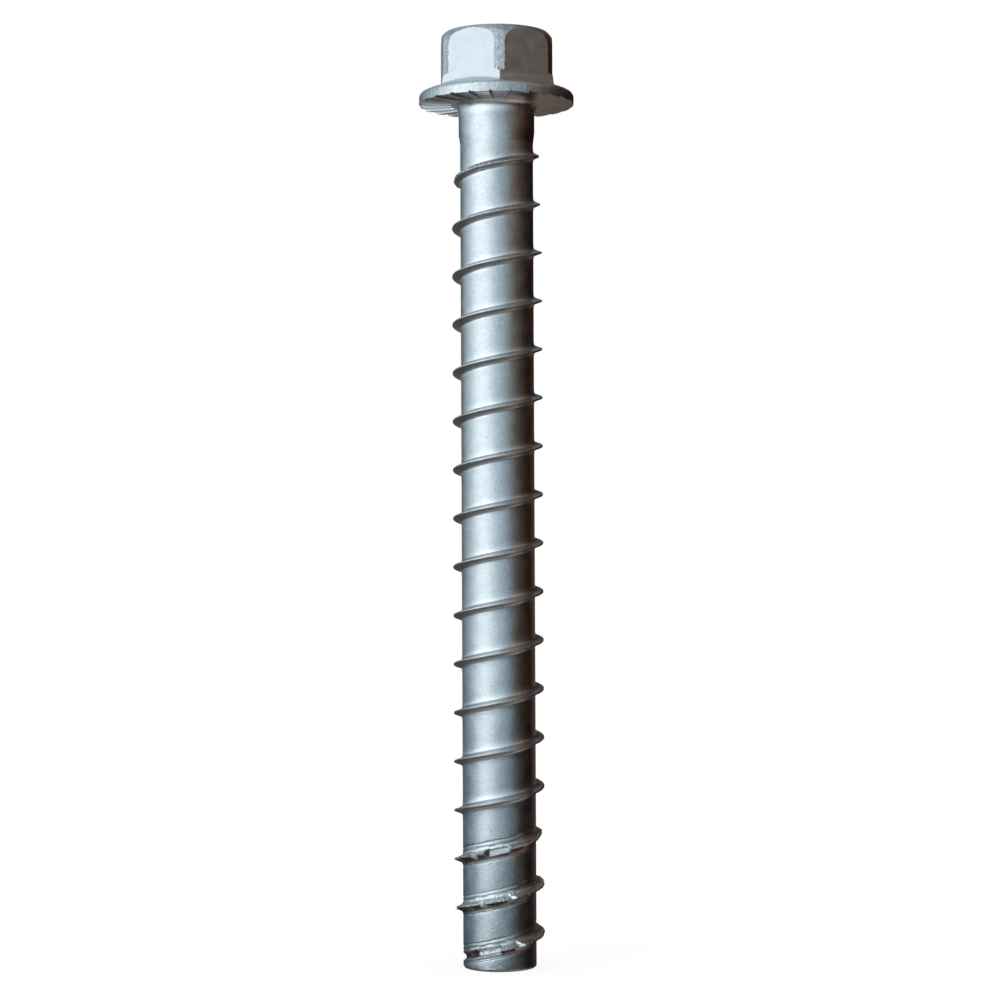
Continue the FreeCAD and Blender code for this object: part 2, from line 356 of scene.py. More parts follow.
def smooth_noise(seed, count, stations):
    """Random values between -1 and 1 at whole stations of a line, joined by cosine arcs."""
    values = np.random.default_rng(seed).uniform(-1, 1, count)
    whole = np.floor(stations).astype(int)
    share = cosine_share(stations - whole)
    return values[whole % count] * (1 - share) + values[(whole + 1) % count] * share


def ring_noise(seed, steps, azimuth):
    """Smooth random values round the axis, with a whole number of steps in a turn."""
    return smooth_noise(seed, steps, azimuth % FULL_TURN * steps / FULL_TURN)


def thread_noise(kind, angle, offset=0.0):
    """Smooth random values along the thread; kind is one of the rows of four numbers above."""
    seed, count, step, shift = kind
    return smooth_noise(seed, count, (angle + FULL_TURN) / step + offset * shift)


def skin_noise(kind, azimuth, place):
    """Smooth random values over a turned surface: a whole number of steps in a turn, and a new ring
    of values at each spacing along it; kind gives the seed, the steps and the spacing."""
    seed, steps, spacing = kind
    along = place / spacing
    low = math.floor(np.min(along))
    count = math.floor(np.max(along)) - low + 2
    values = np.random.default_rng(seed).uniform(-1, 1, (count, steps))
    azimuth, along = np.broadcast_arrays(azimuth % FULL_TURN * steps / FULL_TURN, along - low)
    column, row = np.floor(azimuth).astype(int), np.floor(along).astype(int)
    x = cosine_share(azimuth - column)
    y = cosine_share(along - row)
    column, after = column % steps, (column + 1) % steps
    upper = values[row, column] * (1 - x) + values[row, after] * x
    lower = values[row + 1, column] * (1 - x) + values[row + 1, after] * x
    return upper * (1 - y) + lower * y


def polar(radius, azimuth, height):
    """Points (r cos a, r sin a, z) for arrays of radius, azimuth in degrees and height."""
    turn = np.radians(azimuth)
    return np.stack([radius * np.cos(turn), radius * np.sin(turn), height + 0 * turn], axis=-1)


def quads(rows, columns, wrap):
    """Corner numbers of the quads of a grid whose normals point out when columns run anticlockwise
    and rows run down; wrap joins the last column to the first."""
    last = columns if wrap else columns - 1
    row, column = np.meshgrid(np.arange(rows - 1), np.arange(last), indexing="ij")
    right = (column + 1) % columns
    corners = [row * columns + column, (row + 1) * columns + column]
    corners += [(row + 1) * columns + right, row * columns + right]
    return np.stack(corners, axis=-1).reshape(-1, 4)


def add_object(name, data):
    """A new object over its data, put into the scene."""
    item = bpy.data.objects.new(name, data)
    bpy.context.scene.collection.objects.link(item)
    return item


def new_piece(name, points, faces, masks):
    """Puts points in millimetres and faces into a mesh object, welds its seams and poles and
    marks its sharp edges. masks are point attributes that the material reads."""
    mesh = bpy.data.meshes.new(name)
    mesh.vertices.add(len(points))
    mesh.vertices.foreach_set("co", (points * MM).astype(np.float32).ravel())
    mesh.loops.add(faces.size)
    mesh.loops.foreach_set("vertex_index", faces.astype(np.int32).ravel())
    mesh.polygons.add(len(faces))
    mesh.polygons.foreach_set("loop_start", np.arange(0, faces.size, 4, dtype=np.int32))
    for label, values in masks.items():
        layer = mesh.attributes.new(label, "FLOAT", "POINT")
        layer.data.foreach_set("value", values.astype(np.float32).ravel())
    mesh.update(calc_edges=True)
    work = bmesh.new()
    work.from_mesh(mesh)
    bmesh.ops.remove_doubles(work, verts=work.verts, dist=WELD_DISTANCE)
    bmesh.ops.dissolve_degenerate(work, edges=work.edges, dist=WELD_DISTANCE / 2)
    loose = [v for v in work.verts if not v.link_faces]
    bmesh.ops.delete(work, geom=loose, context="VERTS")
    work.to_mesh(mesh)
    work.free()
    mesh.shade_smooth()
    mesh.set_sharp_from_angle(angle=SHARP_ANGLE)
    piece = add_object(name, mesh)
    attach(piece, "root")
    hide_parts(NODE)
    return piece


# Head

def hex_radius(azimuth):
    """Distance to the flats: flat radius over the cosine of the angle from the nearest flat's middle."""
    step = FULL_TURN / HEX_SIDES
    from_corner = (azimuth - HEX_CORNER_AZIMUTH) % step
    return HEX_FLAT_RADIUS / np.cos(np.radians(from_corner - step / 2))


def rim_arc(samples):
    """Radii and heights round the flange's upper rim, from the cone's foot to the widest point."""
    turn = np.radians(np.linspace(QUARTER_TURN - CONE_SLOPE, 0, samples))
    centre = FLANGE_RADIUS - RIM_UPPER_ROUND
    return centre + RIM_UPPER_ROUND * np.cos(turn), RIM_WIDEST_HEIGHT + RIM_UPPER_ROUND * np.sin(turn)


def cone_height(radius):
    """Height of the flange's coned top: a straight slope up from where the rim's round ends."""
    rim_radii, rim_heights = rim_arc(2)
    return rim_heights[0] + (rim_radii[0] - radius) * math.tan(math.radians(CONE_SLOPE))


def forged_wave(azimuth, height):
    """Unevenness of the forged corners: long waves and finer ones on them."""
    coarse = skin_noise(FORGED_COARSE_NOISE, azimuth, height)
    fine = skin_noise(FORGED_FINE_NOISE, azimuth, height)
    return FORGED_WAVE * coarse + FORGED_WAVE_FINE * fine


def corner_limit(azimuth, height):
    """Radius of the turned form that rounds the hex's corners: a cylinder above, and below
    ROUND_CORNER_BOTTOM a cone out to clear of the sharp corners, with a ragged foot."""
    ragged = sum(size * ring_noise(seed, steps, azimuth) for seed, steps, size in CORNER_FOOT_NOISES)
    below = ROUND_CORNER_BOTTOM + ragged - height
    share = np.clip(below / (ROUND_CORNER_BOTTOM - SHARP_CORNER_TOP), 0, 1)
    radius = ROUND_CORNER_RADIUS + (SHARP_CORNER_CLEAR - ROUND_CORNER_RADIUS) * share
    return radius + forged_wave(azimuth, height)


def head_row(azimuth, radius, height, **masks):
    """One row of the head: its radius and height at each azimuth, then every mask in turn, which is
    0 where it isn't given."""
    values = [radius, height] + [masks.get(name, 0.0) for name in MASKS]
    return [np.broadcast_to(value, azimuth.shape) for value in values]


def trimmed_row(azimuth, limit, flats, height, **masks):
    """A row that follows the flats where they lie inside the turned limit, and the limit beside them."""
    flat = np.clip((limit - flats) / FLAT_FADE, 0, 1)
    radius = smooth_min(limit, flats, HEX_EDGE_BLEND ** 2)
    return head_row(azimuth, radius, height, trimmed_flat=flat, forged=1 - flat, **masks)


def hex_rows(azimuth):
    """Rows from the middle of the dished top over the shoulder and down the flats to their foot."""
    for radius in np.linspace(0, TOP_FACE_RADIUS, TOP_FACE_ROWS):
        dish = TOP_FACE_DISH * (1 - (radius / TOP_FACE_RADIUS) ** 2)
        yield head_row(azimuth, radius, HEAD_HEIGHT - dish, forged=TOP_FACE_FORGED)
    flats = hex_radius(azimuth)
    chord = np.array([ROUND_CORNER_RADIUS - TOP_FACE_RADIUS, -SHOULDER_HEIGHT])
    outward = np.array([SHOULDER_HEIGHT, chord[0]]) / np.hypot(*chord)
    for share in np.linspace(0, 1, SHOULDER_ROWS)[1:]:
        bulge = outward * SHOULDER_CROWN * math.sin(math.pi * share)
        radius, height = np.array([TOP_FACE_RADIUS, HEAD_HEIGHT]) + chord * share + bulge
        radius = radius + forged_wave(azimuth, height) * min(1, share / SHOULDER_WAVE_FADE)
        yield trimmed_row(azimuth, radius, flats, height)
    foot = cone_height(flats + FOOT_FLARE) - HEX_FOOT_GROOVE
    side_top = HEAD_HEIGHT - SHOULDER_HEIGHT
    for share in np.linspace(0, 1, FLATS_ROWS)[1:]:
        height = side_top - (side_top - foot) * share
        down_flare = np.clip((FOOT_FLARE_TOP - height) / (FOOT_FLARE_TOP - foot), 0, 1)
        flared = flats + FOOT_FLARE * down_flare ** 2
        limit = corner_limit(azimuth, height) + flared - flats
        # Painted shade at the flats' foot, darkest at the bottom
        shade_and_residue_amount = FOOT_SHADE * np.clip((foot + FOOT_SHADE_HEIGHT - height) / FOOT_SHADE_HEIGHT, 0, 1)
        yield trimmed_row(azimuth, limit, flared, height, residue=shade_and_residue_amount)


def flange_rows(azimuth):
    """Rows from the groove at the hex's foot down the coned top and round the rim."""
    base = hex_radius(azimuth) + FOOT_FLARE
    rim_radii, rim_heights = rim_arc(RIM_UPPER_ROWS)
    for share in np.linspace(0, 1, FLANGE_TOP_ROWS)[1:]:
        gap = (rim_radii[0] - base) * share ** FLANGE_TOP_SPREAD
        radius = base + gap
        groove = HEX_FOOT_GROOVE * np.exp(-(gap / HEX_FOOT_GROOVE_WIDTH) ** 2)
        wave = FLANGE_TOP_WAVE * skin_noise(FLANGE_TOP_NOISE, azimuth, radius)
        height = cone_height(radius) - groove + wave * share
        # Painted shade in the groove, darkest where the groove is deepest
        shade_and_residue_amount = HEX_FOOT_GROOVE_SHADE * groove / HEX_FOOT_GROOVE
        yield head_row(azimuth, radius, height, forged=FLANGE_TOP_FORGED, residue=shade_and_residue_amount)
    for radius, height in zip(rim_radii[1:], rim_heights[1:]):
        wave = FLANGE_TOP_WAVE * (1 - skin_noise(FLANGE_TOP_NOISE, azimuth, radius))
        yield head_row(azimuth, radius - wave, height, forged=FLANGE_TOP_FORGED)
    for turn in np.radians(np.linspace(0, -QUARTER_TURN, RIM_LOWER_ROWS)):
        radius = FLANGE_RADIUS - RIM_LOWER_ROUND * (1 - math.cos(turn)) - FLANGE_TOP_WAVE
        height = np.maximum(RIM_LOWER_ROUND * (1 + math.sin(turn)), serration_depth(radius, azimuth))
        yield head_row(azimuth, radius, height, forged=RIM_LOWER_FORGED)


def underside_rows(azimuth):
    """Rows from the rim in over the serrations, round the fillet, down the neck, through its taper
    to the core and on to its hidden end."""
    # Painted shade in the serrations' slots and painted sheen on their walls
    slot = serration_slot(azimuth)
    wall = (serration_share(azimuth) > SERRATION_WALL_FROM) | (slot > SLOT_WALL_FROM)
    masks = {"residue": (slot > SLOT_DARK_FROM) & ~wall, "turned": UNDERSIDE_TURNED, "burnished": wall}
    rim = FLANGE_RADIUS - RIM_LOWER_ROUND - FLANGE_TOP_WAVE
    for radius in np.linspace(rim, SERRATION_INNER_RADIUS, UNDERSIDE_ROWS)[1:]:
        yield head_row(azimuth, radius, serration_depth(radius, azimuth), **masks)
    for turn in np.radians(np.linspace(QUARTER_TURN, 2 * QUARTER_TURN, FILLET_ROWS)):
        radius = NECK_RADIUS + NECK_FILLET * (1 + math.cos(turn))
        height = NECK_FILLET_HEIGHT * (math.sin(turn) - 1)
        yield head_row(azimuth, radius, height, turned=FILLET_TURNED, burnished=FILLET_SHEEN)
    neck = [(NECK_RADIUS, z) for z in np.linspace(-NECK_FILLET_HEIGHT, NECK_TAPER_TOP, NECK_ROWS)[1:]]
    for share in np.linspace(0, 1, TAPER_ROWS)[1:]:
        radius = NECK_RADIUS + (CORE_RADIUS - NECK_RADIUS) * share ** NECK_TAPER_POWER
        neck.append((radius, NECK_TAPER_TOP + (NECK_END - NECK_TAPER_TOP) * share))
    buried = NECK_END - NECK_BURIED
    neck += [(CORE_RADIUS - NECK_BURIED, buried), (0.0, buried)]
    for radius, height in neck:
        yield head_row(azimuth, radius, height, turned=1.0)


def serration_share(azimuth):
    """How far a place lies round its serration, from 0 at the wall to 1 at the next crest."""
    step = FULL_TURN / SERRATIONS
    return ((azimuth - SERRATION_AZIMUTH) % step) / step


def serration_slot(azimuth):
    """The narrow slot past each serration's wall: 1 at the wall, falling evenly to 0."""
    return np.clip(1 - serration_share(azimuth) / SERRATION_SLOT_SHARE, 0, 1)


def serration_depth(radius, azimuth):
    """Height of the flange's underside: each serration starts with a narrow slot past its wall,
    ramps down to the next crest and deepens from the inner radius to the rim."""
    reach = (radius - SERRATION_INNER_RADIUS) / (SERRATION_OUTER_RADIUS - SERRATION_INNER_RADIUS)
    reach = max(reach, 0) ** SERRATION_REACH_POWER
    depth = SERRATION_DEPTH * (1 - serration_share(azimuth))
    depth = depth + SERRATION_SLOT_DEPTH * serration_slot(azimuth)
    return (depth - SERRATION_CREST_DROP) * reach


def head():
    """The hex, flange and neck as rows over equal azimuths, with two columns close together at each
    serration's wall."""
    azimuth = SERRATION_AZIMUTH + np.arange(HEAD_COLUMNS) * FULL_TURN / HEAD_COLUMNS
    per_tooth = HEAD_COLUMNS // SERRATIONS
    azimuth[::per_tooth] += COLUMN_AFTER_WALL
    azimuth[per_tooth - 1::per_tooth] += FULL_TURN / HEAD_COLUMNS - COLUMN_BEFORE_WALL
    rows = [*hex_rows(azimuth), *flange_rows(azimuth), *underside_rows(azimuth)]
    rows = np.array(rows, dtype=float)
    points = polar(rows[:, 0], azimuth, rows[:, 1])
    faces = quads(len(rows), HEAD_COLUMNS, True)
    return new_piece("head", points.reshape(-1, 3), faces, dict(zip(MASKS, rows.swapaxes(0, 1)[2:])))


# Shank

def crest_line(angle):
    """Height of the thread's middle, in proportion to the angle from the ridge's lower end."""
    return START_ABOVE_TIP - SHANK_LENGTH + PITCH * angle / FULL_TURN


def tooth_table():
    """A row for each cutting tooth: angle, ramp angle, depth, wall angle and painted light, from painted
    shade at 0 to a painted highlight at 1. The teeth that face the camera have measured forms, and
    the others are drawn at random."""
    number = np.arange(TOOTH_COUNT)
    draw = np.random.default_rng(TOOTH_SEED)
    angle = TOOTH_FIRST_ANGLE + TOOTH_STEP * number - TOOTH_STEP_CLOSING * number ** 2
    ramp, depth, wall, painted_light = [draw.uniform(low, high, TOOTH_COUNT) for low, high in TOOTH_RANGES]
    depth[SHALLOW_TEETH] = SHALLOW_TOOTH_DEPTH
    table = np.stack([angle, ramp, depth, wall, painted_light], axis=-1)
    for tooth, form in SEEN_TEETH.items():
        table[tooth] = form
    return table


def tooth_notches(angle):
    """Depth of the teeth's notches below the crest, and how far each facet is painted bright rather
    than shaded: a notch falls evenly along its ramp to its depth and rises evenly up its wall."""
    notch = np.zeros_like(angle)
    bright = np.zeros_like(angle)
    for place, ramp, depth, wall, painted_light in tooth_table():
        falling = 1 + (angle - place) / ramp
        rising = 1 - (angle - place) / wall
        here = depth * np.clip(np.minimum(falling, rising), 0, 1)
        bright = np.where(here > notch, painted_light, bright)
        notch = np.maximum(notch, here)
    return notch, bright


def start_round(angle):
    """The ridge's blunt lower end: its height rises as a quarter circle over the first degrees."""
    share = np.clip(angle / START_ROUND_ANGLE, 0, 1)
    return np.sqrt(1 - (1 - share) ** 2)


def cutting_wear(angle):
    """How far a place lies in the cutting turns: 1 near the tip, falling to 0 above the gap."""
    return np.clip((WEAR_END_ANGLE - angle) / WEAR_FADE, 0, 1)


def first_turn(height):
    """How far a place lies in the first turn under the neck: 1 there, falling to 0 below it."""
    return np.clip((height - FIRST_TURN_BOTTOM) / FIRST_TURN_FADE, 0, 1)


def rolled_ridge(angle, offset, height):
    """Height of the ridge over the core as rolled: its wavering profile, held inside the run-out,
    with a fold along its crest and a rough first turn."""
    waver = RIDGE_WAVER * cutting_wear(angle) * thread_noise(WAVER_NOISE, angle)
    raised = np.interp(np.abs(offset + waver), RIDGE_HALF_WIDTHS, RIDGE_HEIGHTS)
    raised = np.minimum(raised, np.interp(height, RUN_OUT_STATIONS, RUN_OUT_HEIGHTS))
    fold = FOLD_DEPTH * np.interp(height, FOLD_STATIONS, [0.0, 1.0])
    fold = fold * (FOLD_MEAN + FOLD_SPREAD * thread_noise(FOLD_NOISE, angle))
    fold = fold * np.clip(1 - (offset / FOLD_HALF_WIDTH) ** 2, 0, 1)
    raised = np.where(raised > CREST_ZONE, raised - fold, raised)
    rough = first_turn(height) * FIRST_TURN_ROUGHNESS
    rough = rough * (1 + thread_noise(FIRST_TURN_NOISE, angle, offset))
    return np.where(raised > CREST_ZONE, raised - rough, raised)


def cut_ridge(angle, offset, height):
    """Height of the ridge with its teeth, its worn crest, the ragged cutting turns and the burr."""
    worked = cutting_wear(angle)
    jag = worked * (JAG_MEAN + JAG_SPREAD * thread_noise(JAG_NOISE, angle))
    jag = jag + CREST_DENT * (1 + thread_noise(DENT_NOISE, angle))
    notches = tooth_notches(angle)[0]
    tilt = TOOTH_FACET_TILT * np.clip(offset, -TOOTH_FACET_HALF_WIDTH, TOOTH_FACET_HALF_WIDTH)
    facet = notches + tilt * np.clip(notches / TOOTH_FACET_FADE, 0, 1)
    crest = np.maximum(CREST_HEIGHT - jag - facet, LEAST_RIDGE_HEIGHT)
    raised = np.minimum(rolled_ridge(angle, offset, height), crest)
    unworn = CREST_HEIGHT * (1 - band(angle, WORN_CREST_ANGLES))
    worn = WORN_CREST_HEIGHT + WORN_CREST_SLOPE * offset + unworn
    raised = np.minimum(raised, np.maximum(worn, LEAST_RIDGE_HEIGHT))
    ribs = FLANK_ROUGHNESS * worked * thread_noise(FLANK_NOISE, angle, offset)
    raised = raised + ribs * band(offset, FLANK_RIB_OFFSETS)
    return np.maximum(raised, burr(angle, offset)) * start_round(angle)


def burr(angle, offset):
    """Height of the sliver of metal left standing beside one tooth: a thin fin over the core."""
    along = np.clip(2 - 2 * np.abs(angle - BURR_ANGLE) / BURR_HALF_ANGLE, 0, 1)
    return BURR_HEIGHT * along * (np.abs(offset - BURR_OFFSET) < BURR_HALF_WIDTH / 2)


def in_gap(angle, offset):
    """True where the ridge is missing."""
    return (np.abs(angle - GAP_ANGLE) < GAP_HALF_ANGLE) & (np.abs(offset) < GAP_HALF_WIDTH)


def starting_groove(angle, offset):
    """Depth of the groove that runs on below the ridge: flat floor, sloped sides, rough and open
    at the ridge's end and fading out towards the tip."""
    side = (GROOVE_HALF_WIDTH - np.abs(offset)) / (GROOVE_HALF_WIDTH - GROOVE_HALF_FLOOR)
    depth = GROOVE_DEPTH * np.clip(side, 0, 1)
    rough = sum(GROOVE_ROUGHNESS * thread_noise(kind, angle, offset) for kind in GROOVE_NOISES)
    tip_fade = np.clip((angle + GROOVE_ANGLE) / GROOVE_FADE, 0, 1)
    ridge_fade = np.clip((GROOVE_OVERLAP - angle) / GROOVE_OVERLAP, 0, 1)
    return (depth + np.where(depth > 0, rough, 0)) * (tip_fade * ridge_fade)


def rolling_lines(angle, offset):
    """Depth of the fine grooves that the rolling dies leave beside the ridge near the tip."""
    depth = np.zeros_like(angle + offset)
    for place, half_width, deep, seed in ROLLING_LINES:
        across = np.clip(1 - ((offset - place) / half_width) ** 2, 0, 1)
        along = ROLLING_MEAN + ROLLING_SPREAD * thread_noise((seed, *ROLLING_NOISE), angle)
        depth = depth + deep * across * np.clip(along, ROLLING_LEAST, 1)
    return depth * np.clip((ROLLING_END_ANGLE - angle) / WEAR_FADE, 0, 1)


def shank_radius(angle, offset, height):
    """Radius of the shank over the angle along the thread, the offset across it and the height:
    core plus the cut ridge, with the gap's floor turned just inside the core, less the grooves."""
    radius = CORE_RADIUS + cut_ridge(angle, offset, height)
    from_middle = np.radians(angle - GAP_ANGLE + GAP_FLOOR_TURN)
    cove = np.clip((offset - GAP_COVE_FROM) / (GAP_HALF_WIDTH - GAP_COVE_FROM), 0, 1)
    bed = (CORE_RADIUS - GAP_DEPTH_IN_CORE) / np.cos(from_middle) + GAP_COVE * cove ** 2
    radius = np.where(in_gap(angle, offset), np.minimum(radius, bed), radius)
    return radius - starting_groove(angle, offset) - rolling_lines(angle, offset)


def residue_mask(angle, offset, facet, bright):
    """Painted shade with some brown residue: under the crest, at the roots, in the fine grooves and
    on the starting groove's sides; the teeth's facets carry it only where they aren't painted bright."""
    worked = cutting_wear(angle)
    under = np.interp(offset, *SHADE_UNDER_CREST) * (SHADE_ON_PLAIN_TURNS + worked)
    over = np.interp(offset, *SHADE_OVER_ROOT) * (1 - worked)
    foot = worked * np.interp(offset, *SHADE_AT_FOOT)
    residue = on_ridge(angle, offset) * (under + over + foot) * patchiness(angle)
    residue = residue + ROLLING_LINE_SHADE * rolling_lines(angle, offset)
    residue = residue * (1 - facet) + facet * (1 - bright)
    channel = starting_groove(angle, offset) / GROOVE_DEPTH
    dark_end = np.clip((CHANNEL_DARK_ANGLE - angle) / CHANNEL_DARK_FADE, 0, 1)
    sides = channel * (np.abs(offset) > CHANNEL_SIDE_OFFSET) + channel * dark_end
    return np.clip(residue + CHANNEL_SHADE * sides, 0, 1 + SHADE_ALLOWED_BY_WEAR * worked)


def burnish_and_sheen_mask(angle, offset, facet, bright):
    """Painted sheen on the bands beside the roots, in the gap, in the starting groove and on the
    bright facets, and burnish on the worn upper flank."""
    worked = cutting_wear(angle)
    below = np.interp(offset, *SHEEN_BELOW_RIDGE) * (1 - worked)
    above = np.interp(offset, *SHEEN_ABOVE_RIDGE) * (1 - SHEEN_ABOVE_LOST_TO_WEAR * worked)
    burnish = (below + above) * patchiness(angle) + GAP_SHEEN * in_gap(angle, offset)
    burnish = burnish + starting_groove(angle, offset) / GROOVE_DEPTH + FACET_SHEEN * facet * bright
    return np.clip(burnish + FLANK_BURNISHED * worked * band(offset, BURNISHED_FLANK_OFFSETS), 0, 1)


def forged_mask(angle, offset, height):
    """Coarse skin on the first turn's crest and, less so, beside the ridge on the cutting turns."""
    crest = np.clip(FIRST_TURN_FORGED_TOP - FIRST_TURN_FORGED_FALL * np.abs(offset), 0, 1)
    worn = WORN_FORGED + WORN_FORGED_BESIDE_RIDGE * band(offset, FORGED_OFFSETS)
    forged = FIRST_TURN_FORGED * (first_turn(height) * crest) + cutting_wear(angle) * worn
    return np.clip(forged, 0, FORGED_MOST)


def patchiness(angle):
    """How strongly the painted shade and the painted sheen lie along the thread."""
    return PATCH_MEAN + PATCH_SPREAD * thread_noise(PATCH_NOISE, angle)


def on_ridge(angle, offset):
    """True over the turns of the ridge, outside the gap and above the starting groove."""
    return ~in_gap(angle, offset) & (angle > 0)


def skin_masks(angle, offset, height):
    """The values of SHANK_MASKS at each point, in columns."""
    notches, bright = tooth_notches(angle)
    facet = np.clip(notches / FACET_MASK_FADE, 0, 1) * (np.abs(offset) < FACET_MASK_HALF_WIDTH)
    facet = facet * on_ridge(angle, offset)
    masks = [
        forged_mask(angle, offset, height),
        residue_mask(angle, offset, facet, bright),
        burnish_and_sheen_mask(angle, offset, facet, bright),
    ]
    return np.stack(np.broadcast_arrays(*masks), axis=-1).reshape(-1, 3)


def strip_offsets(fine):
    """Offsets across the strip from one turn's edge to the next, upwards."""
    below, above = (FINE_OFFSETS_BELOW, FINE_OFFSETS_ABOVE) if fine else (PLAIN_OFFSETS, PLAIN_OFFSETS)
    lower = -np.array((RIDGE_OFFSETS + below)[::-1])
    return np.concatenate([lower, [0.0], RIDGE_OFFSETS + above])


def spiral_strip(bottom, top, per_turn, fine):
    """The shank between two heights as a strip that winds up with the thread: columns at equal
    angles, rows at fixed offsets from the crest line, heights held between bottom and top.
    Returns points, quads and masks, with the quads that were pressed flat left out."""
    first = math.floor((bottom - HALF_PITCH - crest_line(0)) / PITCH * per_turn)
    last = math.ceil((top + HALF_PITCH - crest_line(0)) / PITCH * per_turn)
    angle = np.arange(first, last + 1)[None, :] * FULL_TURN / per_turn
    offset = strip_offsets(fine)[::-1, None]
    height = np.clip(crest_line(angle) + offset, bottom, top)
    held_offset = height - crest_line(angle)
    radius = shank_radius(angle + 0 * held_offset, held_offset, height)
    points = polar(radius, START_AZIMUTH + angle + 0 * radius, height)
    faces = quads(len(offset), angle.size, False)
    kept = np.ptp(height.ravel()[faces], axis=1) > FLAT_QUAD_HEIGHT
    return points.reshape(-1, 3), faces[kept], skin_masks(angle, held_offset, height)


def ring_azimuths(per_turn):
    """Azimuths of the columns of a spiral strip round one turn."""
    return START_AZIMUTH + np.arange(per_turn) * FULL_TURN / per_turn


def ring_radius(height, azimuth):
    """Radius of the shank round the circle at one height."""
    angle = azimuth - START_AZIMUTH
    turns = np.round((height - crest_line(angle)) / PITCH)
    angle = angle + turns * FULL_TURN
    return shank_radius(angle, height - crest_line(angle), height + 0 * angle)


def end_disc(height, per_turn, upwards):
    """A flat cap from the shank's outline at one height to a pole on the axis."""
    azimuth = ring_azimuths(per_turn)
    outline = ring_radius(height, azimuth)
    rows = [polar(outline * share, azimuth, height) for share in END_DISC_SHARES]
    rows = rows if upwards else rows[::-1]
    points = np.stack(rows).reshape(-1, 3)
    return points, quads(len(rows), per_turn, True), np.zeros((len(points), 3))


def tip_end(per_turn):
    """The rounded edge and flat end below the last strip: a quarter circle in section, then rings
    to the pole, with the outline's unevenness carried round the edge."""
    azimuth = ring_azimuths(per_turn)
    bottom = -SHANK_LENGTH
    outline = ring_radius(bottom + TIP_ROUND, azimuth)
    rows = []
    for turn in np.radians(np.linspace(0, QUARTER_TURN, TIP_ROUND_ROWS)):
        dent = TIP_DENT * ring_noise(*TIP_NOISE, azimuth) * math.sin(2 * turn)
        radius = outline - TIP_ROUND * (1 - math.cos(turn)) + dent
        rows.append(polar(radius, azimuth, bottom + TIP_ROUND * (1 - math.sin(turn))))
    for share in TIP_DISC_SHARES:
        rows.append(polar((outline - TIP_ROUND) * share, azimuth, bottom))
    points = np.stack(rows).reshape(-1, 3)
    return points, quads(len(rows), per_turn, True), np.tile(TIP_MASKS, (len(points), 1))


def joined(parts):
    """Points, faces and masks of several parts as one of each."""
    all_points, all_faces, all_masks = zip(*parts)
    starts = np.cumsum([0] + [len(points) for points in all_points[:-1]])
    faces = np.concatenate([faces + start for faces, start in zip(all_faces, starts)])
    masks = dict(zip(SHANK_MASKS, np.concatenate(all_masks).T))
    return np.concatenate(all_points), faces, masks


def shank():
    """The threaded shank above the cutting turns, up into the neck."""
    parts = [
        end_disc(SHANK_TOP, SHANK_COLUMNS, True),
        spiral_strip(CUTTING_END_TOP, SHANK_TOP, SHANK_COLUMNS, False),
        end_disc(CUTTING_END_TOP, SHANK_COLUMNS, False),
    ]
    return new_piece("shank", *joined(parts))


def cutting_end():
    """The lowest turns with their cutting teeth, the starting groove and the tip."""
    parts = [
        end_disc(CUTTING_END_TOP, CUTTING_END_COLUMNS, True),
        spiral_strip(TIP_ROUND - SHANK_LENGTH, CUTTING_END_TOP, CUTTING_END_COLUMNS, True),
        tip_end(CUTTING_END_COLUMNS),
    ]
    return new_piece("cutting_end", *joined(parts))


# Zinc: noises as scale per metre, detail and roughness; colours; ranges and weights of each term

GRAIN_NOISE = (3900, 2, 0.65)
MOTTLE_NOISE = (480, 5, 0.6)
WAVE_NOISE = (260, 1, 0.5)
STREAK_NOISE = (420, 3, 0.7)
PALE_SPECK_NOISE = (2300, 1, 0.5)
DARK_SPECK_NOISE = (2700, 1, 0.5)
STREAK_STRETCH = (1.0, 1.0, 9.0)

DULL_ZINC = (0.46, 0.49, 0.51, 1.0)
CLEAR_ZINC = (0.68, 0.7, 0.715, 1.0)
# Pale zinc for painted sheen and for burnish
SHEEN_AND_BURNISH_ZINC = (0.88, 0.9, 0.91, 1.0)
PALE_SPECK = (0.9, 0.92, 0.93, 1.0)
DARK_SPECK = (0.24, 0.22, 0.21, 1.0)
# Dark brown for painted shade with some residue
SHADE_AND_RESIDUE_BROWN = (0.085, 0.068, 0.06, 1.0)

METALLIC = 1.0
NOISE_MIDDLE = (0.3, 0.7)
# Range of the mottle over which the painted shade turns patchy
SHADE_AND_RESIDUE_MIDDLE = (0.35, 0.65)
PALE_SPECK_STEP = ((0.7, 0.78), (0.0, 0.5))
DARK_SPECK_STEP = ((0.31, 0.24), (0.0, 0.6))
COARSE_PLAIN = 1.0
COARSE_FORGED = 2.2
COARSE_FLAT = -0.7
COARSE_TURNED = -0.6
GRAIN_TONES = (-0.3, 0.3)
STREAK_TONES = (-0.5, 0.5)
STREAKS_PLAIN = 0.22
STREAKS_TURNED = 0.3
MOTTLE_TONES = (0.25, 0.75)
FLAT_TONE = -0.22
# Strengths of the painted sheen and of the painted shade with residue
SHEEN_AND_BURNISH_SHARE = 0.75
SHADE_AND_RESIDUE_SHARES = (0.5, 1.0)
SHADE_AND_RESIDUE_SHARE = 0.9
ROUGHNESS_RANGE = (0.27, 0.38)
FLAT_ROUGHNESS = 0.06
SHADE_AND_RESIDUE_ROUGHNESS = 0.1
TURNED_ROUGHNESS = -0.06
WAVE_BUMP = 3.0
STREAK_BUMP = 0.5
BUMP_DEPTH = 0.00003

# Numbers of a mix node's colour sockets
MIX_FIRST = 6
MIX_SECOND = 7
MIX_RESULT = 2


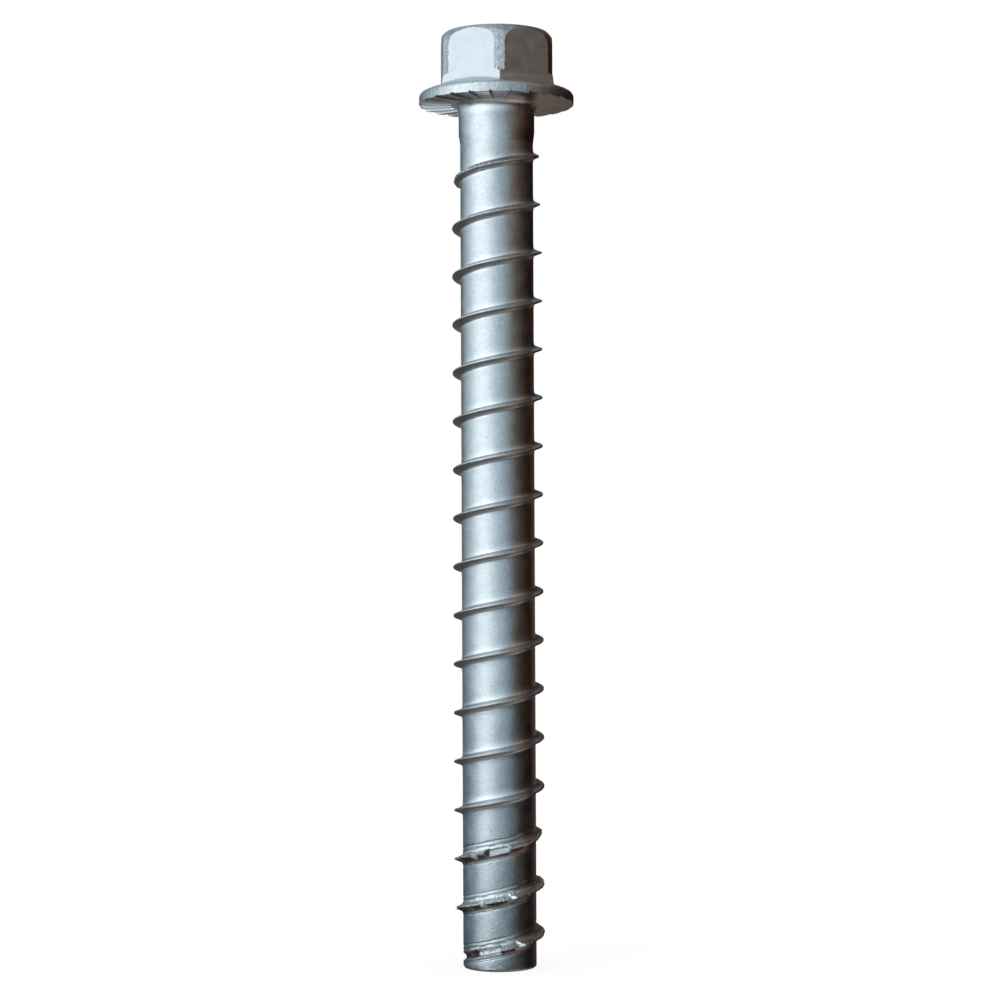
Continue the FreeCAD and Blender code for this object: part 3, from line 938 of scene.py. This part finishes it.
def noise(coordinates, kind):
    """The factor of a noise texture; kind gives its scale, detail and roughness."""
    node = coordinates.id_data.nodes.new("ShaderNodeTexNoise")
    for socket, value in zip(("Scale", "Detail", "Roughness"), kind):
        node.inputs[socket].default_value = value
    put(coordinates, node.inputs["Vector"])
    return node.outputs["Fac"]


def remap(value, source, target):
    """A value carried linearly from one range to another, held at the ends."""
    node = value.id_data.nodes.new("ShaderNodeMapRange")
    for socket, limit in zip(("From Min", "From Max", "To Min", "To Max"), (*source, *target)):
        node.inputs[socket].default_value = limit
    put(value, node.inputs["Value"])
    return node.outputs["Result"]


def put(value, socket):
    """Sets a socket to a plain value or links another socket into it."""
    if isinstance(value, bpy.types.NodeSocket):
        socket.id_data.links.new(value, socket)
    else:
        socket.default_value = value


def math_node(operation, first, second):
    """A math node over a socket and a socket or number."""
    node = first.id_data.nodes.new("ShaderNodeMath")
    node.operation = operation
    put(first, node.inputs[0])
    put(second, node.inputs[1])
    return node.outputs["Value"]


def times(first, second):
    """The product of two values."""
    return math_node("MULTIPLY", first, second)


def add_up(first, *others):
    """The sum of several values."""
    for other in others:
        first = math_node("ADD", first, other)
    return first


def mixed(share, first, second):
    """A colour between two colours, each a socket or a plain value, by the share in a socket."""
    node = share.id_data.nodes.new("ShaderNodeMix")
    node.data_type = "RGBA"
    put(share, node.inputs["Factor"])
    put(first, node.inputs[MIX_FIRST])
    put(second, node.inputs[MIX_SECOND])
    return node.outputs[MIX_RESULT]


def mask(tree, name):
    """The value of one of the pieces' masks."""
    node = tree.nodes.new("ShaderNodeAttribute")
    node.attribute_name = name
    return node.outputs["Fac"]


def zinc_material():
    """Satin zinc: a metal whose tone, roughness and grain vary over the surface, coarser on the
    forged skin, finer on the trimmed flats and lined round the neck, paler for painted sheen and
    burnish, and dark brown for painted shade with some residue."""
    material = bpy.data.materials.new("satin_zinc")
    material.use_nodes = True
    tree = material.node_tree
    shader = tree.nodes["Principled BSDF"]
    shader.inputs["Metallic"].default_value = METALLIC
    coordinates = tree.nodes.new("ShaderNodeTexCoord").outputs["Object"]
    stretch = tree.nodes.new("ShaderNodeMapping")
    stretch.inputs["Scale"].default_value = STREAK_STRETCH
    put(coordinates, stretch.inputs["Vector"])
    flat, forged, residue, turned, burnished = [mask(tree, name) for name in MASKS]

    grain = noise(coordinates, GRAIN_NOISE)
    mottle = noise(coordinates, MOTTLE_NOISE)
    waves = noise(coordinates, WAVE_NOISE)
    streaks = noise(stretch.outputs["Vector"], STREAK_NOISE)
    pale_specks = remap(noise(coordinates, PALE_SPECK_NOISE), *PALE_SPECK_STEP)
    dark_specks = remap(noise(coordinates, DARK_SPECK_NOISE), *DARK_SPECK_STEP)
    coarse = add_up(times(forged, COARSE_FORGED), times(flat, COARSE_FLAT))
    coarse = add_up(coarse, times(turned, COARSE_TURNED), COARSE_PLAIN)

    tone = times(remap(grain, NOISE_MIDDLE, GRAIN_TONES), coarse)
    streak_share = add_up(times(turned, STREAKS_TURNED), STREAKS_PLAIN)
    lines = times(remap(streaks, NOISE_MIDDLE, STREAK_TONES), streak_share)
    mottle_tone = remap(mottle, NOISE_MIDDLE, MOTTLE_TONES)
    tone = add_up(tone, lines, mottle_tone, times(flat, FLAT_TONE))
    color = mixed(tone, DULL_ZINC, CLEAR_ZINC)
    # Painted sheen, and burnish on the worn flank: paler zinc where that mask is set
    color = mixed(times(burnished, SHEEN_AND_BURNISH_SHARE), color, SHEEN_AND_BURNISH_ZINC)
    not_flat = add_up(times(flat, -1.0), 1.0)
    color = mixed(times(pale_specks, not_flat), color, PALE_SPECK)
    color = mixed(times(dark_specks, not_flat), color, DARK_SPECK)
    # Painted shade with some residue: dark brown where that mask is set, patchy with the mottle
    shade_and_residue_amount = times(residue, remap(mottle, SHADE_AND_RESIDUE_MIDDLE, SHADE_AND_RESIDUE_SHARES))
    color = mixed(times(shade_and_residue_amount, SHADE_AND_RESIDUE_SHARE), color, SHADE_AND_RESIDUE_BROWN)
    put(color, shader.inputs["Base Color"])

    rough = remap(mottle, NOISE_MIDDLE, ROUGHNESS_RANGE)
    rough = add_up(rough, times(flat, FLAT_ROUGHNESS), times(shade_and_residue_amount, SHADE_AND_RESIDUE_ROUGHNESS))
    rough = add_up(rough, times(turned, TURNED_ROUGHNESS))
    put(rough, shader.inputs["Roughness"])

    height = add_up(times(grain, coarse), times(waves, WAVE_BUMP))
    height = add_up(height, times(lines, STREAK_BUMP))
    bump = tree.nodes.new("ShaderNodeBump")
    bump.inputs["Distance"].default_value = BUMP_DEPTH
    put(height, bump.inputs["Height"])
    put(bump.outputs["Normal"], shader.inputs["Normal"])
    return material


# Studio: the camera in millimetres and degrees, the rest in metres and degrees

CAMERA_PLACE = (13.07, -437.0, -79.05)
CAMERA_TURNS = [(1.669, "Z"), (91.355, "X"), (-0.249, "Z")]
LENS = 90.66

WHITE = (1.0, 1.0, 1.0, 1.0)
FLOOR_COLOR = (0.99, 0.99, 0.99, 1.0)
FLOOR_HALF = 3.0
FLOOR_WHITE_SHARE = 0.85

KEY_DIRECTION = -48
KEY_ELEVATION = 25
KEY_DISTANCE = 1.1
KEY_WIDTH = 0.5
KEY_HEIGHT = 0.6
KEY_POWER = 3.0
KEY_COLOR = (0.93, 0.98, 1.0)

# Reflector tent. A ring has its radius, its height, its shares of the panels' colour on the five
# sides, and the colours added in front, at the right and behind
TENT_COLUMNS = 180
FRONT, LEFT, RIGHT, BEHIND, FRONT_RIGHT = range(5)
NONE = (0.0, 0.0, 0.0)
POLE_GREY = (0.22, 0.24, 0.25)
POLE_BROWN = (0.3, 0.25, 0.22)
TENT_RINGS = [
    (0.005, 0.3, (0.25, 0.25, 0.25, 0.25, 0.25), POLE_GREY, POLE_GREY, POLE_GREY),
    (0.15, 0.3, (0.6, 0.6, 2.0, 0.6, 0.6), (0.16, 0.18, 0.19), (0.12, 0.12, 0.12), (0.14, 0.16, 0.17)),
    (0.36, 0.3, (1.2, 1.1, 4.0, 1.15, 1.2), NONE, (0.03, 0.03, 0.03), NONE),
    (0.36, 0.12, (1.1, 1.05, 2.4, 0.45, 0.8), NONE, NONE, NONE),
    (0.36, 0.01, (1.05, 1.05, 0.8, 0.15, 0.9), NONE, NONE, NONE),
    (0.36, -0.03, (1.05, 1.0, 0.85, 0.1, 1.05), NONE, NONE, (0.07, 0.045, 0.03)),
    (0.36, -0.1, (1.15, 0.85, 0.95, 0.14, 1.2), NONE, NONE, (0.13, 0.085, 0.06)),
    (0.36, -0.15, (1.12, 0.35, 0.3, 0.1, 0.75), (-0.03, 0.03, 0.07), NONE, (0.13, 0.085, 0.06)),
    (0.36, -0.2, (0.5, 0.18, 0.12, 0.06, 0.28), (-0.03, 0.04, 0.09), NONE, (0.09, 0.06, 0.04)),
    (0.36, -0.25, (0.16, 0.09, 0.06, 0.05, 0.1), (0.0, 0.02, 0.03), NONE, (0.05, 0.03, 0.02)),
    (0.36, -0.32, (0.05,) * 5, (0.03, 0.028, 0.026), (0.05, 0.04, 0.03), (0.05, 0.035, 0.03)),
    (0.36, -0.4, (0.0,) * 5, (0.2, 0.17, 0.15), (0.46, 0.36, 0.3), (0.1, 0.07, 0.05)),
    (0.25, -0.45, (0.0,) * 5, (0.25, 0.21, 0.185), (0.58, 0.45, 0.37), (0.12, 0.09, 0.07)),
    (0.15, -0.45, (0.0,) * 5, (0.4, 0.33, 0.28), (0.4, 0.31, 0.25), (0.1, 0.08, 0.06)),
    (0.005, -0.45, (0.0,) * 5, POLE_BROWN, POLE_BROWN, POLE_BROWN),
]

# Which side's share holds at each direction, in degrees to the right of the camera's side
TENT_SIDES = [
    (-180, BEHIND), (-150, BEHIND), (-120, LEFT), (-80, LEFT), (-50, FRONT), (-20, FRONT),
    (12, FRONT_RIGHT), (40, FRONT_RIGHT), (60, RIGHT), (130, RIGHT), (155, BEHIND), (180, BEHIND),
]
TENT_RIGHT_DIRECTIONS = [20, 60, 120, 150]
TENT_BEHIND_DIRECTIONS = [120, 150]

# The panels' colour at each direction
TENT_PANELS = [
    (-180, (0.62, 0.66, 0.68)),
    (-168, (0.98, 1.05, 1.08)),
    (-155, (0.3, 0.36, 0.4)),
    (-145, (0.24, 0.31, 0.35)),
    (-120, (0.36, 0.46, 0.52)),
    (-90, (0.8, 0.93, 1.0)),
    (-66, (1.4, 1.55, 1.62)),
    (-34, (1.4, 1.55, 1.62)),
    (-10, (0.8, 0.92, 1.0)),
    (20, (0.48, 0.6, 0.68)),
    (45, (0.21, 0.205, 0.195)),
    (60, (0.12, 0.09, 0.07)),
    (78, (0.065, 0.038, 0.024)),
    (110, (0.013, 0.005, 0.002)),
    (150, (0.015, 0.008, 0.005)),
    (162, (0.05, 0.04, 0.03)),
    (172, (0.22, 0.23, 0.23)),
    (180, (0.62, 0.66, 0.68)),
]


def camera():
    """The photograph's view: a long lens a little below the middle, turned up to take in the head."""
    data = bpy.data.cameras.new("camera")
    data.lens = LENS
    holder = add_object("camera", data)
    turn = Matrix.Identity(4)
    for angle, axis in CAMERA_TURNS:
        turn = turn @ Matrix.Rotation(math.radians(angle), 4, axis)
    holder.matrix_world = Matrix.Translation(Vector(CAMERA_PLACE) * MM) @ turn
    bpy.context.scene.camera = holder


def bare_material(name):
    """A material with only its output node."""
    material = bpy.data.materials.new(name)
    material.use_nodes = True
    material.node_tree.nodes.remove(material.node_tree.nodes["Principled BSDF"])
    return material


def background_strength(tree):
    """1 for camera, glossy and transmission rays, 0 for the rest."""
    path = tree.nodes.new("ShaderNodeLightPath")
    first = math_node("MAXIMUM", path.outputs["Is Camera Ray"], path.outputs["Is Glossy Ray"])
    return math_node("MAXIMUM", first, path.outputs["Is Transmission Ray"])


def world():
    """A plain white surround at strength 1."""
    background = bpy.data.worlds.new("studio")
    background.use_nodes = True
    node = background.node_tree.nodes["Background"]
    node.inputs["Color"].default_value = WHITE
    node.inputs["Strength"].default_value = 1.0
    bpy.context.scene.world = background


def floor():
    """A white floor at the tip's level that keeps a little of the screw's shadow."""
    material = bare_material("white_floor")
    tree = material.node_tree
    diffuse = tree.nodes.new("ShaderNodeBsdfDiffuse")
    diffuse.inputs["Color"].default_value = FLOOR_COLOR
    white = tree.nodes.new("ShaderNodeEmission")
    mix = tree.nodes.new("ShaderNodeMixShader")
    put(times(background_strength(tree), FLOOR_WHITE_SHARE), mix.inputs["Fac"])
    put(diffuse.outputs["BSDF"], mix.inputs[1])
    put(white.outputs["Emission"], mix.inputs[2])
    put(mix.outputs["Shader"], tree.nodes["Material Output"].inputs["Surface"])
    sides = [(-1, -1), (1, -1), (1, 1), (-1, 1)]
    corners = [(x * FLOOR_HALF, y * FLOOR_HALF, -SHANK_LENGTH * MM) for x, y in sides]
    mesh = bpy.data.meshes.new("floor")
    mesh.from_pydata(corners, [], [(0, 1, 2, 3)])
    mesh.materials.append(material)
    plane = add_object("floor", mesh)
    plane.visible_glossy = False


def tent():
    """A reflector tent round the screw that only reflections see: bright panels to the left of the
    camera, dark ones to the right, with their colours joined evenly over the angle between them."""
    direction = np.arange(TENT_COLUMNS) * FULL_TURN / TENT_COLUMNS - FULL_TURN / 2
    turn = np.radians(direction)
    angles, panels = zip(*TENT_PANELS)
    tones = np.stack([np.interp(direction, angles, channel) for channel in zip(*panels)], axis=-1)
    right = band(direction, TENT_RIGHT_DIRECTIONS)[:, None]
    behind = np.interp(np.abs(direction), TENT_BEHIND_DIRECTIONS, (0, 1))[:, None]
    side_angles, sides = zip(*TENT_SIDES)
    rows = []
    colors = []
    for radius, height, shares, front_color, right_color, back_color in TENT_RINGS:
        rows.append(np.stack([radius * np.sin(turn), -radius * np.cos(turn), height + 0 * turn], axis=-1))
        share = np.interp(direction, side_angles, [shares[side] for side in sides])
        own = (1 - right) * (1 - behind) * front_color + right * (1 - behind) * right_color
        color = tones * share[:, None] + own + behind * back_color
        colors.append(np.column_stack([color, np.ones(TENT_COLUMNS)]))
    mesh = bpy.data.meshes.new("tent")
    mesh.from_pydata(np.concatenate(rows).tolist(), [], quads(len(rows), TENT_COLUMNS, True).tolist())
    layer = mesh.attributes.new("panel", "FLOAT_COLOR", "POINT")
    layer.data.foreach_set("color", np.concatenate(colors).astype(np.float32).ravel())
    material = bare_material("tent_panels")
    tree = material.node_tree
    panel = tree.nodes.new("ShaderNodeAttribute")
    panel.attribute_name = "panel"
    glow = tree.nodes.new("ShaderNodeEmission")
    put(panel.outputs["Color"], glow.inputs["Color"])
    put(glow.outputs["Emission"], tree.nodes["Material Output"].inputs["Surface"])
    mesh.materials.append(material)
    shell = add_object("tent", mesh)
    shell.visible_camera = False
    shell.visible_diffuse = False
    shell.visible_shadow = False


def key_light():
    """A soft area light from the front left that looks at the screw's middle."""
    data = bpy.data.lights.new("key", "AREA")
    data.shape = "RECTANGLE"
    data.size = KEY_WIDTH
    data.size_y = KEY_HEIGHT
    data.energy = KEY_POWER
    data.color = KEY_COLOR
    lamp = add_object("key", data)
    turn, rise = math.radians(KEY_DIRECTION), math.radians(KEY_ELEVATION)
    away = Vector((math.sin(turn) * math.cos(rise), -math.cos(turn) * math.cos(rise), math.sin(rise)))
    middle = Vector((0, 0, (HEAD_HEIGHT - SHANK_LENGTH) / 2 * MM))
    lamp.location = middle + away * KEY_DISTANCE
    lamp.rotation_mode = "QUATERNION"
    lamp.rotation_quaternion = away.to_track_quat("Z", "Y")
    lamp.visible_glossy = False


def main():
    """Builds the screw, its finish and the studio."""
    zinc = zinc_material()
    for piece in (head(), shank(), cutting_end()):
        piece.data.materials.append(zinc)
    camera()
    world()
    floor()
    tent()
    key_light()
    bpy.context.scene.view_settings.view_transform = "Standard"


main()
